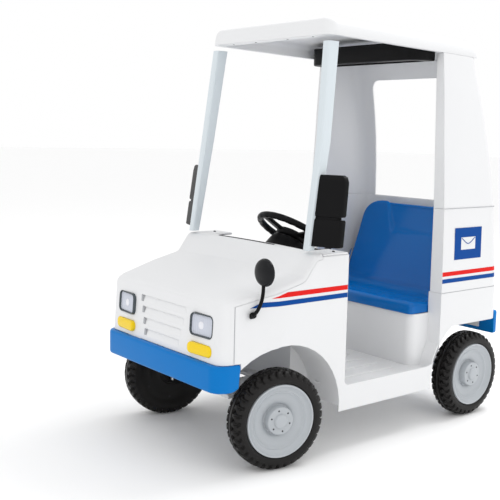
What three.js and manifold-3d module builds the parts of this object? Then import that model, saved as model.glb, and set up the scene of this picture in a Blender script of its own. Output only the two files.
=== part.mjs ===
// Child's ride-on mail delivery truck: open cab, moulded body, steered front wheels, one driven rear wheel.
// Millimetres. +Z is up, the truck faces -Y, and +X is the driver's left.
// The origin is on the floor, at the middle of the truck's length and width.
// It stands with its front wheels steered to the right.
import * as THREE from "three";
import { mergeVertices } from "three/addons/utils/BufferGeometryUtils.js";
import Module from "manifold-3d";

const wasm = await Module();
wasm.setup();

// ---------------------------------------------------------------- driving dimensions
const GAP = 0.4; // between pieces that touch
const SKIN = 4; // wall of the moulded body
const FAR = 700; // longer than any cut has to be

const body = {
  halfWidth: 255,
  noseHalfWidth: 232, // where the nose moulding meets the fenders
  taperEnd: -330, // the sides are parallel behind this
  noseFace: -459.7,
  noseSeam: -430,
  rear: 455,
  cornerRadius: 30,
  sillBottom: 97.5,
  sillTop: 157.5,
  doorFront: -123,
  doorRear: 212,
  panelTop: 465,
  lowerSeam: 341,
  upperSeam: 557,
};
const floorPlate = { bottom: 144, top: 152, frontHalfWidth: 148, front: -380, toeBoard: -200 };
const riser = { front: 150, back: 229, halfWidth: 215, top: 285.6, cornerRadius: 26 };
const deck = { bottom: 256, top: 260, front: 225 };
const chargeSocket = { x: -150, z: 230 };
const pedal = { x: -70, pivotY: -72, pivotZ: 162, length: 84, tilt: THREE.MathUtils.degToRad(30) };
const pedalPivot = new THREE.Vector3(0, 2, 2)
  .applyAxisAngle(new THREE.Vector3(1, 0, 0), -pedal.tilt)
  .add(new THREE.Vector3(0, pedal.pivotY, pedal.pivotZ));

const wheel = { radius: 112, facets: 24, innerFace: 22, spindle: 5.5, spindleEnd: 62 };
const axleHeight = wheel.radius * Math.cos(Math.PI / wheel.facets); // a facet lies on the floor
const frontAxle = { y: -304, kingpinX: 184, archRadius: 165 };
const rearAxle = { y: 348, hubX: 183, archRadius: 165, fenderEdge: 251 };

const steer = {
  angle: THREE.MathUtils.degToRad(-11.5), // of the front wheels, as it stands
  wheelRatio: 4 / 3, // steering wheel angle over knuckle angle
  arm: 34, // knuckle arm, kingpin to tie rod pin
  crank: 25.5, // crank at the column's foot
};
const steeringWheel = {
  centre: new THREE.Vector3(0, -69, 483.5),
  radius: 95,
  rim: 8.5,
  tilt: THREE.MathUtils.degToRad(32.7), // of the column from upright
};

const roof = {
  halfWidth: 226,
  front: -176,
  rear: 362,
  frontEdge: 957, // height of the lower edge at the front
  pitch: 0.0275, // fall towards the rear
  height: 42,
  cornerRadius: 25,
  crown: 4,
};
const roofEdge = (y) => roof.frontEdge - (y - roof.front) * roof.pitch;

const pillar = {
  foot: new THREE.Vector3(225, -222, 471.5),
  head: new THREE.Vector3(208, -155, 962),
  footSize: [18, 22],
  middleSize: [21, 29],
  headSize: [22, 33],
  bow: 5, // outward and rearward, halfway up
};
const bumper = {
  halfWidth: 237,
  front: -476.5,
  bottom: 188,
  top: 246,
  returnEnd: -416,
  cornerRadius: 35,
  thickness: 14,
};
const rearBumper = { halfWidth: 242, front: 456, rear: 476.5, bottom: 205, top: 267, cornerRadius: 12 };

const nose = { rake: 0.06, bottom: 247, lampHeight: 322 }; // the face leans back from its foot
const headlight = { x: 156, z: 322, width: 77.4, height: 50, corner: 12, rim: 5 };
const turnSignal = { x: 155, z: 270, width: 81, height: 25, corner: 11 };
const lampSweep = THREE.MathUtils.degToRad(4.7); // the lamps' outer ends are swept back
const louvres = [
  { z: 343, halfLength: 92 },
  { z: 317, halfLength: 85 },
  { z: 291, halfLength: 78 },
  { z: 266, halfLength: 71 },
];

// ---------------------------------------------------------------- colours
const finish = (color, roughness, metalness = 0) =>
  new THREE.MeshStandardMaterial({ color, roughness, metalness });
const paint = {
  white: finish(0xf1f2f4, 0.32),
  blue: finish(0x0070c4, 0.28),
  seatBlue: finish(0x005bb0, 0.25),
  black: finish(0x1b1b1c, 0.5),
  tyre: finish(0x2b2a2a, 0.75),
  grey: finish(0xb8bcc0, 0.45),
  bezel: finish(0x4b5357, 0.35),
  lens: finish(0xc9ccd6, 0.15),
  amber: finish(0xf2d40c, 0.2),
  steel: finish(0x9fa2a6, 0.35, 1),
  mirror: finish(0xe6e8ea, 0.05, 1),
  battery: finish(0x3a3c40, 0.6),
};

// ---------------------------------------------------------------- solids
function facingOut(geometry) {
  const p = geometry.getAttribute("position");
  const index = geometry.index.array;
  const [a, b, c] = [new THREE.Vector3(), new THREE.Vector3(), new THREE.Vector3()];
  let volume = 0;
  for (let i = 0; i < index.length; i += 3) {
    a.fromBufferAttribute(p, index[i]);
    b.fromBufferAttribute(p, index[i + 1]);
    c.fromBufferAttribute(p, index[i + 2]);
    volume += a.dot(b.cross(c));
  }
  if (volume < 0) {
    for (let i = 0; i < index.length; i += 3) [index[i + 1], index[i + 2]] = [index[i + 2], index[i + 1]];
  }
  return geometry;
}

// One welded closed surface with only positions, from any of the shapes below.
function welded(geometry) {
  const bare = geometry.clone();
  bare.deleteAttribute("normal");
  bare.deleteAttribute("uv");
  return facingOut(mergeVertices(bare, 1e-3));
}

function solid(shape) {
  if (!shape.isBufferGeometry) return shape;
  const g = welded(shape);
  return new wasm.Manifold(
    new wasm.Mesh({
      numProp: 3,
      vertProperties: new Float32Array(g.getAttribute("position").array),
      triVerts: new Uint32Array(g.index.array),
    }),
  );
}

const join = (...shapes) => shapes.map(solid).reduce((a, b) => a.add(b));
const cut = (shape, ...tools) => tools.map(solid).reduce((a, b) => a.subtract(b), solid(shape));
const common = (...shapes) => shapes.map(solid).reduce((a, b) => a.intersect(b));

function geometryOf(shape) {
  if (shape.isBufferGeometry) return welded(shape);
  const m = shape.getMesh();
  const positions = new Float32Array(m.numVert * 3);
  for (let i = 0; i < m.numVert; i++) {
    positions.set(m.vertProperties.subarray(i * m.numProp, i * m.numProp + 3), i * 3);
  }
  return new THREE.BufferGeometry()
    .setAttribute("position", new THREE.BufferAttribute(positions, 3))
    .setIndex(new THREE.BufferAttribute(m.triVerts, 1));
}

const box = (low, high) =>
  new THREE.BoxGeometry(high[0] - low[0], high[1] - low[1], high[2] - low[2]).translate(
    (low[0] + high[0]) / 2,
    (low[1] + high[1]) / 2,
    (low[2] + high[2]) / 2,
  );

// Outlines are lists of [a, b]. arc() gives the points of a round stretch, angles in degrees.
function arc(a, b, radius, from, to, steps = 5) {
  return Array.from({ length: steps + 1 }, (_, i) => {
    const t = THREE.MathUtils.degToRad(from + ((to - from) * i) / steps);
    return [a + radius * Math.cos(t), b + radius * Math.sin(t)];
  });
}

const roundedBox = (halfA, halfB, r, steps = 4) => [
  ...arc(halfA - r, halfB - r, r, 0, 90, steps),
  ...arc(r - halfA, halfB - r, r, 90, 180, steps),
  ...arc(r - halfA, r - halfB, r, 180, 270, steps),
  ...arc(halfA - r, r - halfB, r, 270, 360, steps),
];

function extrude(outline, depth) {
  const shape = new THREE.Shape(outline.map(([a, b]) => new THREE.Vector2(a, b)));
  return new THREE.ExtrudeGeometry(shape, { depth, bevelEnabled: false, curveSegments: 1 });
}

const axes = (x, y, z) =>
  new THREE.Matrix4().makeBasis(new THREE.Vector3(...x), new THREE.Vector3(...y), new THREE.Vector3(...z));
// An outline of [y, z] made solid between two X planes, and likewise for the other two directions.
const sideView = (outline, x0, x1) =>
  extrude(outline, x1 - x0)
    .applyMatrix4(axes([0, 1, 0], [0, 0, 1], [1, 0, 0]))
    .translate(x0, 0, 0);
const frontView = (outline, y0, y1) =>
  extrude(outline, y1 - y0)
    .applyMatrix4(axes([1, 0, 0], [0, 0, 1], [0, -1, 0]))
    .translate(0, y1, 0);
const planView = (outline, z0, z1) => extrude(outline, z1 - z0).translate(0, 0, z0);

// A solid of revolution about X, from a closed profile of [radius, x].
function lathe(profile, facets = wheel.facets) {
  const closed = profile[0][0] > 0 ? [...profile, profile[0]] : profile;
  const points = closed.map(([r, x]) => new THREE.Vector2(r, x));
  return new THREE.LatheGeometry(points, facets, Math.PI / facets).rotateZ(-Math.PI / 2);
}

// A surface through rings of equal point count, with a fan over each end.
function loft(rings) {
  const n = rings[0].length;
  const positions = rings.flat(2);
  const index = [];
  for (let i = 0; i + 1 < rings.length; i++) {
    for (let j = 0; j < n; j++) {
      const [a, b] = [i * n + j, i * n + ((j + 1) % n)];
      index.push(a, b, b + n, a, b + n, a + n);
    }
  }
  for (const [ring, first] of [[rings[0], 0], [rings.at(-1), (rings.length - 1) * n]]) {
    const middle = [0, 1, 2].map((k) => ring.reduce((sum, p) => sum + p[k], 0) / n);
    const hub = positions.length / 3;
    positions.push(...middle);
    for (let j = 0; j < n; j++) {
      const [a, b] = [first + j, first + ((j + 1) % n)];
      index.push(...(first === 0 ? [hub, b, a] : [hub, a, b]));
    }
  }
  return new THREE.BufferGeometry()
    .setAttribute("position", new THREE.Float32BufferAttribute(positions, 3))
    .setIndex(index);
}

// A round bar between two points.
function bar(from, to, radius, sides = 16) {
  const [a, b] = [new THREE.Vector3(...from), new THREE.Vector3(...to)];
  const along = b.clone().sub(a);
  const up = new THREE.Vector3(0, 1, 0);
  const turn = new THREE.Quaternion().setFromUnitVectors(up, along.clone().normalize());
  return new THREE.CylinderGeometry(radius, radius, along.length(), sides)
    .applyQuaternion(turn)
    .translate(...a.add(b).multiplyScalar(0.5));
}

// A round tube that follows a smooth curve through points.
function tube(points, radius, sides = 8, steps = 10) {
  const curve = new THREE.CatmullRomCurve3(points.map((p) => new THREE.Vector3(...p)));
  const outline = arc(0, 0, radius, 0, 360 - 360 / sides, sides - 1);
  const section = new THREE.Shape(outline.map((p) => new THREE.Vector2(...p)));
  return new THREE.ExtrudeGeometry(section, { steps, extrudePath: curve, bevelEnabled: false });
}

const mirrored = (shape) => solid(shape).mirror([1, 0, 0]);
const both = (shape) => join(shape, mirrored(shape));

// ---------------------------------------------------------------- scene graph
const truck = new THREE.Group();
function add(name, shape, material, parent = truck) {
  const mesh = new THREE.Mesh(geometryOf(shape), material);
  mesh.name = name;
  parent.add(mesh);
  return mesh;
}
const sides = [
  { side: "left", sign: 1 },
  { side: "right", sign: -1 },
];
const onSide = (shape, sign) => (sign > 0 ? solid(shape) : mirrored(shape));

// ---------------------------------------------------------------- nose, hood and cowl: one moulding
// Stations from front to rear: the hood climbs gently, and the cowl steeply up to the pillars' feet.
const hoodStations = [
  { y: -459.7, halfWidth: 203, top: 366, round: 6 },
  { y: -459, halfWidth: 210, top: 370, round: 8 },
  { y: -456, halfWidth: 218, top: 374, round: 10 },
  { y: -449, halfWidth: 225, top: 377.5, round: 12 },
  { y: -441, halfWidth: 229.5, top: 380, round: 13 },
  { y: -430, halfWidth: 232, top: 383, round: 13 },
  { y: -330, halfWidth: 255, top: 406, round: 13 },
  { y: -262, halfWidth: 255, top: 422.5, round: 13 },
  { y: -253, halfWidth: 255, top: 427, round: 13 },
  { y: -223, halfWidth: 255, top: 466, round: 11 },
  { y: -216, halfWidth: 255, top: 470, round: 10 },
  { y: -204, halfWidth: 255, top: 471, round: 10 },
];
const hoodCrown = 5;
const seamDrop = 12; // the seam to the fenders runs this far below the hood's edge

function hoodRing({ y, halfWidth, top, round }, inset, bottom) {
  const w = halfWidth - inset;
  const high = top - inset;
  const r = Math.max(round - inset, 2);
  const lean = Math.min(1, Math.max(0, (body.noseSeam - y) / 12));
  const crown = [-0.7, -0.35, 0, 0.35, 0.7].map((s) => [s * w, high + hoodCrown * (1 - s * s)]);
  const outline = [
    [-w, bottom],
    ...arc(r - w, high - r, r, 180, 90, 3),
    ...crown,
    ...arc(w - r, high - r, r, 90, 0, 3),
    [w, bottom],
  ];
  return outline.map(([x, z]) => [x, y + nose.rake * (z - nose.lampHeight) * lean, z]);
}

// The seam between hood and fenders, as [y, z] points.
const seamLine = (lift) =>
  hoodStations.filter((s) => s.y >= body.noseSeam).map((s) => [s.y, s.top - seamDrop + lift]);

function noseAndHood() {
  const outer = loft(hoodStations.map((s) => hoodRing(s, 0, nose.bottom)));
  const last = hoodStations.at(-1);
  const inside = hoodStations.map((s) => ({ ...s, y: s.y + SKIN + (s === last ? 20 : 0) }));
  const inner = loft(inside.map((s) => hoodRing(s, SKIN, nose.bottom - 30)));
  const seam = seamLine(GAP / 2);
  const belowSeam = [[body.noseSeam, 200], ...seam, [-180, seam.at(-1)[1]], [-180, 200]];
  const sidesBelowSeam = sideView(belowSeam, -FAR, FAR);
  return cut(outer, inner, sidesBelowSeam, ...lampPockets(), ...louvres.map(louvre));
}

// The nose's lamps and louvres are laid out on its leaning face.
const leanAngle = -Math.atan(nose.rake);
const onNoseFace = (shape, x, z, sweep = 0) =>
  solid(
    shape
      .rotateX(leanAngle)
      .rotateZ(Math.sign(x) * sweep)
      .translate(x, body.noseFace + nose.rake * (z - nose.lampHeight), z),
  );

function lampPockets() {
  const hole = (lamp, sign) => {
    const outline = roundedBox(lamp.width / 2 + GAP, lamp.height / 2 + GAP, lamp.corner + GAP);
    return onNoseFace(frontView(outline, -10, 14), sign * lamp.x, lamp.z, lampSweep);
  };
  return [headlight, turnSignal].flatMap((lamp) => [hole(lamp, 1), hole(lamp, -1)]);
}

// A louvre is a wedge cut that is deepest along its top edge.
function louvre({ z, halfLength }) {
  const wedge = [[-3, 8], [3.2, 8], [3.2, 5], [0.05, -8], [-3, -8]];
  return onNoseFace(sideView(wedge, -halfLength, halfLength), 0, z);
}

add("hood_fascia", noseAndHood(), paint.white);

// ---------------------------------------------------------------- lower body: fenders, sills, floor, riser
function lowerPlan(inset) {
  const corner = body.cornerRadius - inset;
  const [w, rear] = [body.halfWidth - inset, body.rear - inset];
  const taper = (body.halfWidth - body.noseHalfWidth) / (body.taperEnd - body.noseSeam);
  const front = body.noseSeam + GAP - inset * 3;
  const frontHalf = body.noseHalfWidth - inset + taper * (front - body.noseSeam);
  const leftSide = [[frontHalf, front], [w, body.taperEnd], ...arc(w - corner, rear - corner, corner, 0, 90)];
  return [...leftSide, ...leftSide.toReversed().map(([x, y]) => [-x, y])];
}

function riserPlan(inset) {
  const r = riser.cornerRadius - inset;
  const [w, front] = [riser.halfWidth - inset, riser.front + inset];
  const back = riser.back + (inset ? 20 : 0);
  const rightSide = [[-w, back], ...arc(r - w, front + r, r, 180, 270)];
  return [...rightSide, ...rightSide.toReversed().map(([x, y]) => [-x, y])];
}

const arch = (y) => (radius, x0, x1) =>
  lathe([[0, x0], [radius, x0], [radius, x1], [0, x1]], 40).translate(0, y, axleHeight);
const frontArch = arch(frontAxle.y);
const rearArch = arch(rearAxle.y);

const floorRibs = { xs: [30, 82, 134, 186], width: 24, front: -150, back: 103, height: 2 };
function floorRib(x) {
  const half = floorRibs.width / 2;
  return box(
    [x - half, floorRibs.front, floorPlate.top - 1],
    [x + half, floorRibs.back, floorPlate.top + floorRibs.height],
  );
}

function lowerBody() {
  const walls = cut(
    planView(lowerPlan(0), body.sillBottom, body.panelTop),
    planView(lowerPlan(SKIN), 0, FAR),
  );
  const top = seamLine(-GAP / 2);
  const underHood = sideView([[-500, top[0][1]], ...top, [-203.6, FAR], [-500, FAR]], -FAR, FAR);
  const doorway = [
    [body.doorFront, FAR],
    ...arc(body.doorFront + 12, body.sillTop + 12, 12, 180, 270, 4),
    ...arc(body.doorRear - 45, body.sillTop + 45, 45, 270, 360, 6),
    [body.doorRear, FAR],
  ];
  const aboveSeam = box([-FAR, 200, body.lowerSeam], [FAR, FAR, FAR]);
  const shell = cut(walls, underHood, both(sideView(doorway, 240, FAR)), aboveSeam);

  const inside = body.halfWidth - 2;
  const { bottom: under, top: floorTop } = floorPlate;
  const mainFloor = box([-inside, floorPlate.toeBoard, under], [inside, body.doorRear + 1, floorTop]);
  const ribs = floorRibs.xs.map((x) => both(floorRib(x)));
  const atRiser = riser.halfWidth - 2;
  const batteryFloor = box([-atRiser, riser.front, under], [atRiser, riser.back, floorTop]);
  const mirrorLedge = box([222, -203, body.panelTop - 8], [inside, body.doorFront - 2, body.panelTop]);
  const half = floorPlate.frontHalfWidth;
  const frontFloor = cut(
    box([-half, floorPlate.front, under], [half, floorPlate.toeBoard, floorTop]),
    box([-45, -318, 100], [45, -232, 200]),
  );
  const toeBoard = cut(
    box([-inside, floorPlate.toeBoard - SKIN, under], [inside, floorPlate.toeBoard, 440]),
    bar([0, -300, columnHeightAt(-300)], [0, -100, columnHeightAt(-100)], 15.6, 20),
  );
  const seatRiser = cut(planView(riserPlan(0), under, riser.top), planView(riserPlan(SKIN), 0, FAR));
  const step = box([-atRiser - 1, deck.front, under], [atRiser + 1, riser.back, deck.top]);
  const rearDeck = box([-inside, deck.front + 0.5, deck.bottom], [inside, body.rear - 25, deck.top]);
  const deckEnd = common(
    planView(lowerPlan(SKIN / 2), deck.bottom, deck.top),
    box([-FAR, 400, 0], [FAR, FAR, FAR]),
  );
  const doorPosts = box([atRiser, body.doorRear, under], [inside, body.doorRear + SKIN, body.lowerSeam]);

  const frontLiner = common(
    cut(
      frontArch(frontAxle.archRadius + SKIN, half, inside),
      frontArch(frontAxle.archRadius, half - 1, FAR),
    ),
    box([0, body.noseSeam + GAP, axleHeight], [FAR, -120, 300]),
    planView(lowerPlan(1), 0, FAR),
  );
  const wellSide = common(
    box([half, floorPlate.toeBoard - SKIN, body.sillBottom], [half + SKIN, -130, 300]),
    frontArch(frontAxle.archRadius + 1, 0, FAR),
  );
  const rearLiner = common(
    cut(
      rearArch(rearAxle.archRadius + SKIN, atRiser + 1, inside),
      rearArch(rearAxle.archRadius, 0, FAR),
    ),
    box([0, 150, body.sillBottom], [FAR, rearAxle.y, deck.bottom + 1]),
  );

  const frontWell = frontArch(frontAxle.archRadius, half + SKIN, FAR);
  const rearWell = common(
    rearArch(rearAxle.archRadius, riser.halfWidth, FAR),
    box([0, 0, 0], [FAR, FAR, rearAxle.fenderEdge]),
  );
  const behindRearWheel = box([195, rearAxle.y, 0], [FAR, FAR, rearAxle.fenderEdge]);
  const rearSkirt = box([-FAR, 430, 0], [FAR, FAR, 216]);
  const bumperRoom = box([-FAR, -441, 0], [FAR, bumper.returnEnd + 2, nose.bottom + GAP]);
  const lug = (x) => box([x - 2, pedal.pivotY - 5, under], [x + 2, pedal.pivotY + 11, pedal.pivotZ + 8]);
  const pedalLugs = cut(
    join(lug(pedal.x - 31), lug(pedal.x + 31)),
    bar([pedal.x - 40, pedalPivot.y, pedalPivot.z], [pedal.x + 40, pedalPivot.y, pedalPivot.z], 5),
  );
  const plates = [mainFloor, ...ribs, batteryFloor, frontFloor, toeBoard, seatRiser, step, rearDeck, deckEnd];
  const plate = join(...plates, pedalLugs);
  return cut(
    join(shell, plate, ...[doorPosts, frontLiner, wellSide, rearLiner, mirrorLedge].map(both)),
    both(frontWell),
    both(rearWell),
    both(behindRearWheel),
    rearSkirt,
    bar([chargeSocket.x, 140, chargeSocket.z], [chargeSocket.x, 170, chargeSocket.z], 8 + GAP),
    cut(bumperRoom, box([-half - 1, -FAR, 0], [half + 1, FAR, FAR])),
  );
}

// The column's centreline height above a point along the truck.
function columnHeightAt(y) {
  return steeringWheel.centre.z + (y - steeringWheel.centre.y) / Math.tan(steeringWheel.tilt);
}

add("lower_body", lowerBody(), paint.white);

// ---------------------------------------------------------------- rear body: middle and upper mouldings
// The side walls lean in and the rear wall leans forward with height.
const rearLevels = [
  { z: 300, halfWidth: 255, rear: 455, post: 216 },
  { z: 341, halfWidth: 255, rear: 452.5, post: 217 },
  { z: 450, halfWidth: 253.5, rear: 445, post: 217 },
  { z: 557, halfWidth: 250.5, rear: 437, post: 216.5 },
  { z: 650, halfWidth: 245.5, rear: 424, post: 214 },
  { z: 733, halfWidth: 240, rear: 409, post: 211 },
  { z: 800, halfWidth: 236.5, rear: 393, post: 209 },
  { z: 870, halfWidth: 232, rear: 373, post: 207 },
  { z: 960, halfWidth: 225.5, rear: 344, post: 205 },
];

function rearRing({ z, halfWidth, rear }, front, inset) {
  const r = body.cornerRadius - inset;
  const [w, back] = [halfWidth - inset, rear - inset];
  const left = [[w, front], ...arc(w - r, back - r, r, 0, 90, 4)];
  return [...left, ...left.toReversed().map(([x, y]) => [-x, y])].map(([x, y]) => [x, y, z]);
}

function rearWalls(low, high) {
  const outer = loft(rearLevels.map((l) => rearRing(l, body.doorRear, 0)));
  const inner = loft(rearLevels.map((l) => rearRing(l, body.doorRear + SKIN, SKIN)));
  const betweenPosts = loft(
    rearLevels.map(({ z, post }) => [[post, 190, z], [post, 260, z], [-post, 260, z], [-post, 190, z]]),
  );
  return common(cut(outer, inner, betweenPosts), box([-FAR, 0, low], [FAR, FAR, high]));
}

const aboveRoofEdge = sideView(
  [[-FAR, roofEdge(-FAR) - GAP], [FAR, roofEdge(FAR) - GAP], [FAR, 2000], [-FAR, 2000]],
  -FAR,
  FAR,
);
const rearWindow = [
  [-208, 500],
  [208, 500],
  ...arc(137, 867, 30, 7, 90, 5),
  ...arc(-137, 867, 30, 90, 173, 5),
];

add("rear_mid_body", rearWalls(body.lowerSeam + GAP, body.upperSeam - GAP / 2), paint.white);
add(
  "rear_upper_body",
  cut(rearWalls(body.upperSeam + GAP / 2, 959), aboveRoofEdge, frontView(rearWindow, 300, 480)),
  paint.white,
);

// ---------------------------------------------------------------- roof, pillars and overhead console
function roofRing(lift, side, front, rear) {
  const [w, y0, y1] = [roof.halfWidth - side, roof.front + front, roof.rear - rear];
  const middle = (y0 + y1) / 2;
  const r = Math.max(roof.cornerRadius - side, 6);
  return roundedBox(w, (y1 - y0) / 2, r).map(([x, y]) => {
    const at = y + middle;
    return [x, at, roofEdge(at) + lift];
  });
}

function roofShell() {
  const outer = loft([
    roofRing(0, 0, 0, 0),
    roofRing(24, 4, 2, 9),
    roofRing(34, 9, 5, 22),
    roofRing(40, 17, 12, 44),
    roofRing(roof.height, 32, 26, 70),
    roofRing(roof.height + roof.crown, 120, 120, 170),
  ]);
  const inner = loft([
    roofRing(SKIN, SKIN + 1, SKIN, SKIN + 1),
    roofRing(20, SKIN + 4, SKIN + 2, SKIN + 11),
    roofRing(30, SKIN + 10, SKIN + 6, SKIN + 24),
    roofRing(roof.height - SKIN, SKIN + 28, SKIN + 20, SKIN + 64),
  ]);
  const opening = loft([roofRing(-5, 13, 30, 14), roofRing(SKIN + 6, 13, 30, 14)]);
  return cut(outer, inner, opening);
}
add("roof", roofShell(), paint.white);

function pillarShape() {
  const ring = (at, [a, b]) =>
    roundedBox(a / 2, b / 2, a * 0.35, 3).map(([x, y]) => [at.x + x, at.y + y, at.z]);
  const bow = new THREE.Vector3(pillar.bow, pillar.bow, 0);
  const halfway = pillar.foot.clone().lerp(pillar.head, 0.5).add(bow);
  const shaft = loft([
    ring(pillar.foot, pillar.footSize),
    ring(halfway, pillar.middleSize),
    ring(pillar.head, pillar.headSize),
  ]);
  return cut(shaft, aboveRoofEdge, pillarFootCut());
}

// The foot stands on the cowl's crowned top.
function pillarFootCut() {
  return loft(hoodStations.slice(-4).map((s) => hoodRing(s, -GAP, 300)));
}
for (const { side, sign } of sides) add("a_pillar_" + side, onSide(pillarShape(), sign), paint.white);

function console() {
  const plan = (inset) => {
    const [w, front, back] = [202 - inset, 140 + inset, 208 - inset];
    const r = 42 - inset;
    const right = [[-w, back], ...arc(r - w, front + r, r, 180, 260, 5), [-60, front - 3], [0, front - 4]];
    return [...right, ...right.slice(0, -1).toReversed().map(([x, y]) => [-x, y])];
  };
  return cut(planView(plan(0), 926, 972), planView(plan(3), 929, 980));
}
add("overhead_console", console(), paint.black);

// ---------------------------------------------------------------- mirrors
const mirrorHousing = {
  inner: 234.4,
  outer: 299,
  bottom: 487,
  top: 647,
  groove: 552,
  depth: 22,
  sweep: 0.32,
};

function leaningBox([x0, x1], [front, back], [z0, z1], [corner, bevel]) {
  const lean = (z) => pillar.foot.y + 8 + (z - pillar.foot.z) * 0.137;
  const thinning = (x) => 1 - (x - mirrorHousing.inner) * 0.004;
  const ring = (z) => {
    const inner = x0 - (z - mirrorHousing.bottom) * 0.008;
    const outer = x1 - (z - mirrorHousing.bottom) * 0.05;
    const outboard = [
      [outer - corner, front],
      [outer, front + corner],
      [outer, back - bevel],
      [outer - bevel, back],
    ];
    return [[inner, front], ...outboard, [inner, back]].map(([x, y]) => [
      x,
      y * thinning(x) + (x - mirrorHousing.inner) * mirrorHousing.sweep + lean(z),
      z,
    ]);
  };
  return loft([ring(z0), ring(z1)]);
}

function sideMirror() {
  const { inner, outer, bottom, top, groove, depth } = mirrorHousing;
  const housing = leaningBox([inner, outer], [-depth / 2, depth / 2], [bottom, top], [7, 2]);
  const notch = leaningBox([outer - 14, outer + 20], [-60, 60], [groove - 3, groove + 3], [1, 1]);
  const recess = leaningBox([inner + 6, outer - 7], [depth / 2 - 1.5, 40], [groove + 8, top - 6], [0.2, 0.2]);
  return cut(housing, notch, recess);
}

function sideMirrorPane() {
  const { inner, outer, top, groove, depth } = mirrorHousing;
  return leaningBox(
    [inner + 6 + GAP, outer - 7 - GAP],
    [depth / 2 - 1.5 + GAP, depth / 2],
    [groove + 8 + GAP, top - 6 - GAP],
    [0.2, 0.2],
  );
}
for (const { side, sign } of sides) {
  add("side_mirror_" + side, onSide(sideMirror(), sign), paint.black);
  add("mirror_pane_" + side, onSide(sideMirrorPane(), sign), paint.mirror);
}

// The round mirror stands on a bent stalk on the left fender.
const fenderMirrorCentre = [255, -374, 443];
const facingRear = (profile) =>
  lathe(profile, 24)
    .rotateZ(-Math.PI / 2)
    .translate(...fenderMirrorCentre);
function fenderMirrorHousing() {
  const dome = facingRear([[0, 9], [12, 8], [22, 4.5], [30, -2], [30, -7], [27, -7], [27, -5.5], [0, -5.5]]);
  const bend = [
    [246, -393, 352],
    [252, -386, 362],
    [256, -379, 381],
    [256.5, -375, 402],
    [255.5, -374, 424],
  ];
  const stalk = tube(bend, 4, 8, 12);
  const foot = box([243.5, -400, 345], [249, -386, 359]);
  return join(dome, stalk, foot);
}
add("fender_mirror", fenderMirrorHousing(), paint.black);
add("fender_mirror_pane", facingRear([[0, -5.9], [26.5, -5.9], [26.5, -6.9], [0, -6.9]]), paint.mirror);

// ---------------------------------------------------------------- lamps
function headlightBezel() {
  const { width, height, corner, rim } = headlight;
  const frame = frontView(roundedBox(width / 2, height / 2, corner), -4, 10);
  const opening = frontView(roundedBox(width / 2 - rim, height / 2 - rim, corner - 4), -10, 8);
  return geometryOf(cut(frame, opening));
}
function headlightLens() {
  const { width, height, corner, rim } = headlight;
  const inset = rim + GAP;
  return frontView(roundedBox(width / 2 - inset, height / 2 - inset, corner - 4 - GAP), -2, 3);
}
function turnSignalLens() {
  const { width, height, corner } = turnSignal;
  const ring = (y, inset) =>
    roundedBox(width / 2 - inset, height / 2 - inset, corner - inset).map(([x, z]) => [x, y, z]);
  return loft([ring(5, 0), ring(-3.5, 0), ring(-6, 3)]);
}
for (const { side, sign } of sides) {
  const placed = (shape, lamp) => onNoseFace(shape, sign * lamp.x, lamp.z, lampSweep);
  add("headlight_bezel_" + side, placed(headlightBezel(), headlight), paint.bezel);
  add("headlight_lens_" + side, placed(headlightLens(), headlight), paint.lens);
  add("turn_signal_" + side, placed(turnSignalLens(), turnSignal), paint.amber);
}

// ---------------------------------------------------------------- bumpers
function frontBumper() {
  const plan = (inset) => {
    const [w, front] = [bumper.halfWidth - inset, bumper.front + inset];
    const r = bumper.cornerRadius - inset;
    const right = [[-w, bumper.returnEnd + (inset ? 30 : 0)], ...arc(r - w, front + r, r, 180, 270)];
    return [...right, ...right.toReversed().map(([x, y]) => [-x, y])];
  };
  const { bottom, top, returnEnd } = bumper;
  const undercut = [[returnEnd - 20, bottom - 1], [returnEnd + 1, bottom - 1], [returnEnd + 1, bottom + 10]];
  return cut(
    planView(plan(0), bottom, top),
    planView(plan(bumper.thickness), 0, FAR),
    sideView(undercut, -FAR, FAR),
  );
}
add("front_bumper", frontBumper(), paint.blue);

function rearBumperShape() {
  const { halfWidth: w, front, rear, cornerRadius: r } = rearBumper;
  const left = [[w, front], ...arc(w - r, rear - r, r, 0, 90)];
  const plan = [...left, ...left.toReversed().map(([x, y]) => [-x, y])];
  const hollow = box([-w + 20, front - 5, rearBumper.bottom + 8], [w - 20, rear - 8, rearBumper.top - 8]);
  return cut(planView(plan, rearBumper.bottom, rearBumper.top), hollow);
}
add("rear_bumper", rearBumperShape(), paint.blue);

// ---------------------------------------------------------------- seat
function seatShape() {
  const upper = [
    [145, 286],
    [145, 308],
    ...arc(155, 308, 10, 180, 100, 3),
    [190, 312],
    [260, 306],
    [300, 308],
    [322, 326],
    [340, 372],
    [368, 455],
    [392, 532],
    ...arc(401, 535, 10, 150, 20, 4),
  ];
  const back = [
    [398, 520],
    [375, 450],
    [347, 368],
    [328, 320],
  ];
  const underside = [
    [304, 301],
    [260, 299],
    [190, 304],
    [151, 302],
    [149.4, 286],
  ];
  const plan = roundedBox(212.6, 136, 26).map(([x, y]) => [x, y + 281]);
  const leftEdge = [[213, 280], [213, 330], [209, 385], [205.5, 470], ...arc(160, 500, 45, 0, 90, 5)];
  const face = [...leftEdge, ...leftEdge.toReversed().map(([x, z]) => [-x, z])];
  const bench = sideView([...upper, ...back, ...underside], -FAR, FAR);
  const skirts = both(sideView([...upper, ...back, [312, 286]], 207, FAR));
  return common(join(bench, skirts), planView(plan, 200, 600), frontView(face, 100, 500));
}
add("seat", seatShape(), paint.seatBlue);

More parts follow.
